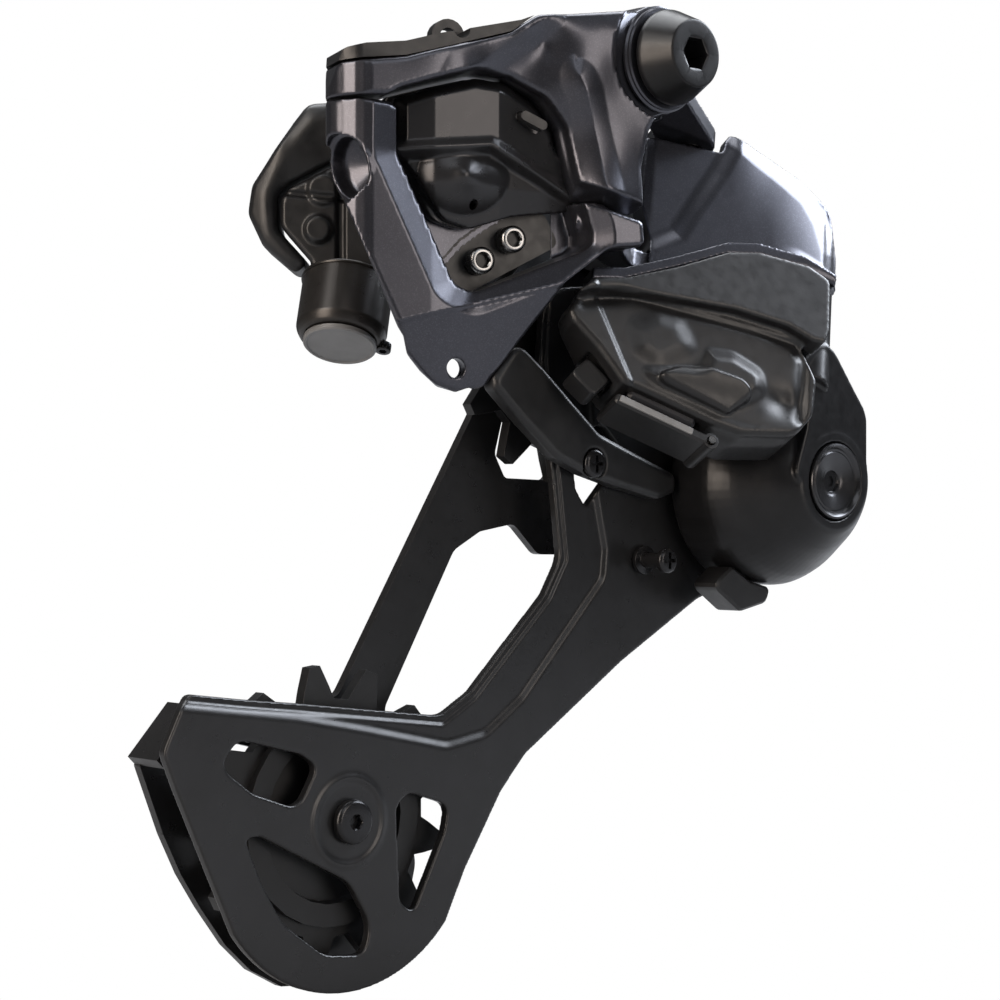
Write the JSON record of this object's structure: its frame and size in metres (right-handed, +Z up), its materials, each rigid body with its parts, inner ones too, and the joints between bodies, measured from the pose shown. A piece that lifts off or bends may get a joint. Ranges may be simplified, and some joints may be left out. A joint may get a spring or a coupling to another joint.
{
  "type": "rear bicycle derailleur",
  "caption": "Electric rear derailleur: a slanted parallelogram with a battery in its outer link carries a sprung long cage with two toothed pulleys, hung from a hanger bolt.",
  "frame": {"origin": "on the hanger bolt's axis, where the bracket meets the hanger's outboard face", "axes": "+X forwards, +Y inboard towards the wheel along the hanger bolt, +Z up"},
  "size_m": [0.1713, 0.0867, 0.1912],
  "materials": {
    "painted_alloy": "satin metallic paint, dark blue-grey",
    "black_alloy": "satin black coat on metal",
    "black_plastic": "matte",
    "dark_plastic": "semi-gloss",
    "black_steel": "satin black coat on steel",
    "bright_steel": "bright machined",
    "spring_steel": "oiled spring wire",
    "battery_wrap": "shrink-wrapped, semi-gloss"
  },
  "bodies": {
    "hanger_side": {"hanger_bolt": "black_alloy", "bolt_collar": "black_alloy", "stopper_plate": "black_steel"},
    "bracket": {"upper_bracket": "painted_alloy", "lower_bracket": "painted_alloy", "bolt_sleeve": "bright_steel", "control_case": "dark_plastic", "top_cover": "black_plastic", "motor_can": "black_alloy", "motor_end_cap": "bright_steel", "gearbox_case": "black_plastic", "side_cover": "black_plastic", "outer_pin_bracket": "bright_steel", "inner_pin_bracket": "bright_steel"},
    "b_screw": {"b_tension_screw": "bright_steel"},
    "button": {"mode_button": "black_plastic"},
    "low_screw": {"low_limit_screw": "bright_steel"},
    "high_screw": {"high_limit_screw": "bright_steel"},
    "outer_arm": {"outer_link": "painted_alloy", "battery_housing": "black_plastic", "battery_pack": "battery_wrap", "cover_pin": "bright_steel"},
    "pack_cover": {"battery_cover": "black_plastic"},
    "pack_latch": {"battery_latch": "dark_plastic"},
    "inner_arm": {"inner_link": "black_alloy"},
    "knuckle": {"cage_knuckle": "black_alloy", "cage_bumper": "black_plastic", "pivot_cap": "black_steel", "clutch_roller": "bright_steel", "cage_spring": "spring_steel", "outer_pin_knuckle": "bright_steel", "inner_pin_knuckle": "bright_steel"},
    "cage": {"outer_plate": "black_steel", "inner_plate": "black_steel", "chain_guard": "black_plastic", "guard_screw": "black_steel", "stop_pin": "black_steel", "cage_axle": "black_steel", "guide_bushing": "bright_steel", "guide_cap_outer": "black_steel", "guide_cap_inner": "black_steel", "guide_bolt": "black_steel", "tension_bushing": "bright_steel", "tension_cap_outer": "black_steel", "tension_cap_inner": "black_steel", "tension_bolt": "black_steel"},
    "guide": {"guide_pulley": "black_plastic"},
    "tension": {"tension_pulley": "black_plastic"}
  },
  "joints": [
    {"name": "bracket_swing", "type": "hinge", "parent": "hanger_side", "child": "bracket", "pos_m": [0, 0, 0], "axis": [0, 1, 0], "range_deg": [0, 20]},
    {"name": "b_tension_turn", "type": "hinge", "parent": "bracket", "child": "b_screw", "pos_m": [-0.0235, -0.005, 0.0005], "axis": [0.774, 0, -0.6332], "continuous": true},
    {"name": "mode_press", "type": "slide", "parent": "bracket", "child": "button", "axis": [0.3461, 0.9382, 0], "range_m": [0, 0.0007], "stiffness_N_per_m": 500, "springref_m": -0.001},
    {"name": "low_limit_turn", "type": "hinge", "parent": "bracket", "child": "low_screw", "pos_m": [-0.03317, -0.00024, -0.041], "axis": [-0.3461, -0.9382, 0], "continuous": true},
    {"name": "high_limit_turn", "type": "hinge", "parent": "bracket", "child": "high_screw", "pos_m": [-0.02697, -0.00252, -0.0366], "axis": [-0.3461, -0.9382, 0], "continuous": true},
    {"name": "outer_arm_swing", "type": "hinge", "parent": "bracket", "child": "outer_arm", "pos_m": [0.0141, -0.008, -0.0426], "axis": [0.3588, 0.259, 0.8968], "range_deg": [0, 70]},
    {"name": "pack_cover_open", "type": "hinge", "parent": "outer_arm", "child": "pack_cover", "pos_m": [0.00577, -0.02061, -0.07877], "axis": [-0.3077, -0.8742, 0.3756], "range_deg": [0, 80]},
    {"name": "pack_latch_slide", "type": "slide", "parent": "outer_arm", "child": "pack_latch", "axis": [0.8033, -0.0271, 0.595], "range_m": [0, 0.001], "stiffness_N_per_m": 300, "springref_m": -0.002},
    {"name": "inner_arm_swing", "type": "hinge", "parent": "bracket", "child": "inner_arm", "pos_m": [0.01345, 0.01317, -0.04845], "axis": [0.3588, 0.259, 0.8968], "range_deg": [0, 70]},
    {"name": "knuckle_turn", "type": "hinge", "parent": "outer_arm", "child": "knuckle", "pos_m": [0.04058, -0.02034, -0.04963], "axis": [0.3588, 0.259, 0.8968], "range_deg": [-70, 0]},
    {"name": "cage_swing", "type": "hinge", "parent": "knuckle", "child": "cage", "pos_m": [0.041, 0.009, -0.084], "axis": [0, -1, 0], "range_deg": [0, 75], "stiffness_Nm_per_rad": 0.15, "springref_deg": -114.59},
    {"name": "guide_pulley_spin", "type": "hinge", "parent": "cage", "child": "guide", "pos_m": [-0.004, 0.009, -0.0554], "axis": [0, 1, 0], "continuous": true},
    {"name": "tension_pulley_spin", "type": "hinge", "parent": "cage", "child": "tension", "pos_m": [-0.065, 0.009, -0.148], "axis": [0, 1, 0], "continuous": true}
  ],
  "couplings": [
    {"joint": "inner_arm_swing", "follows": "outer_arm_swing", "ratio": 1},
    {"joint": "knuckle_turn", "follows": "outer_arm_swing", "ratio": -1}
  ]
}
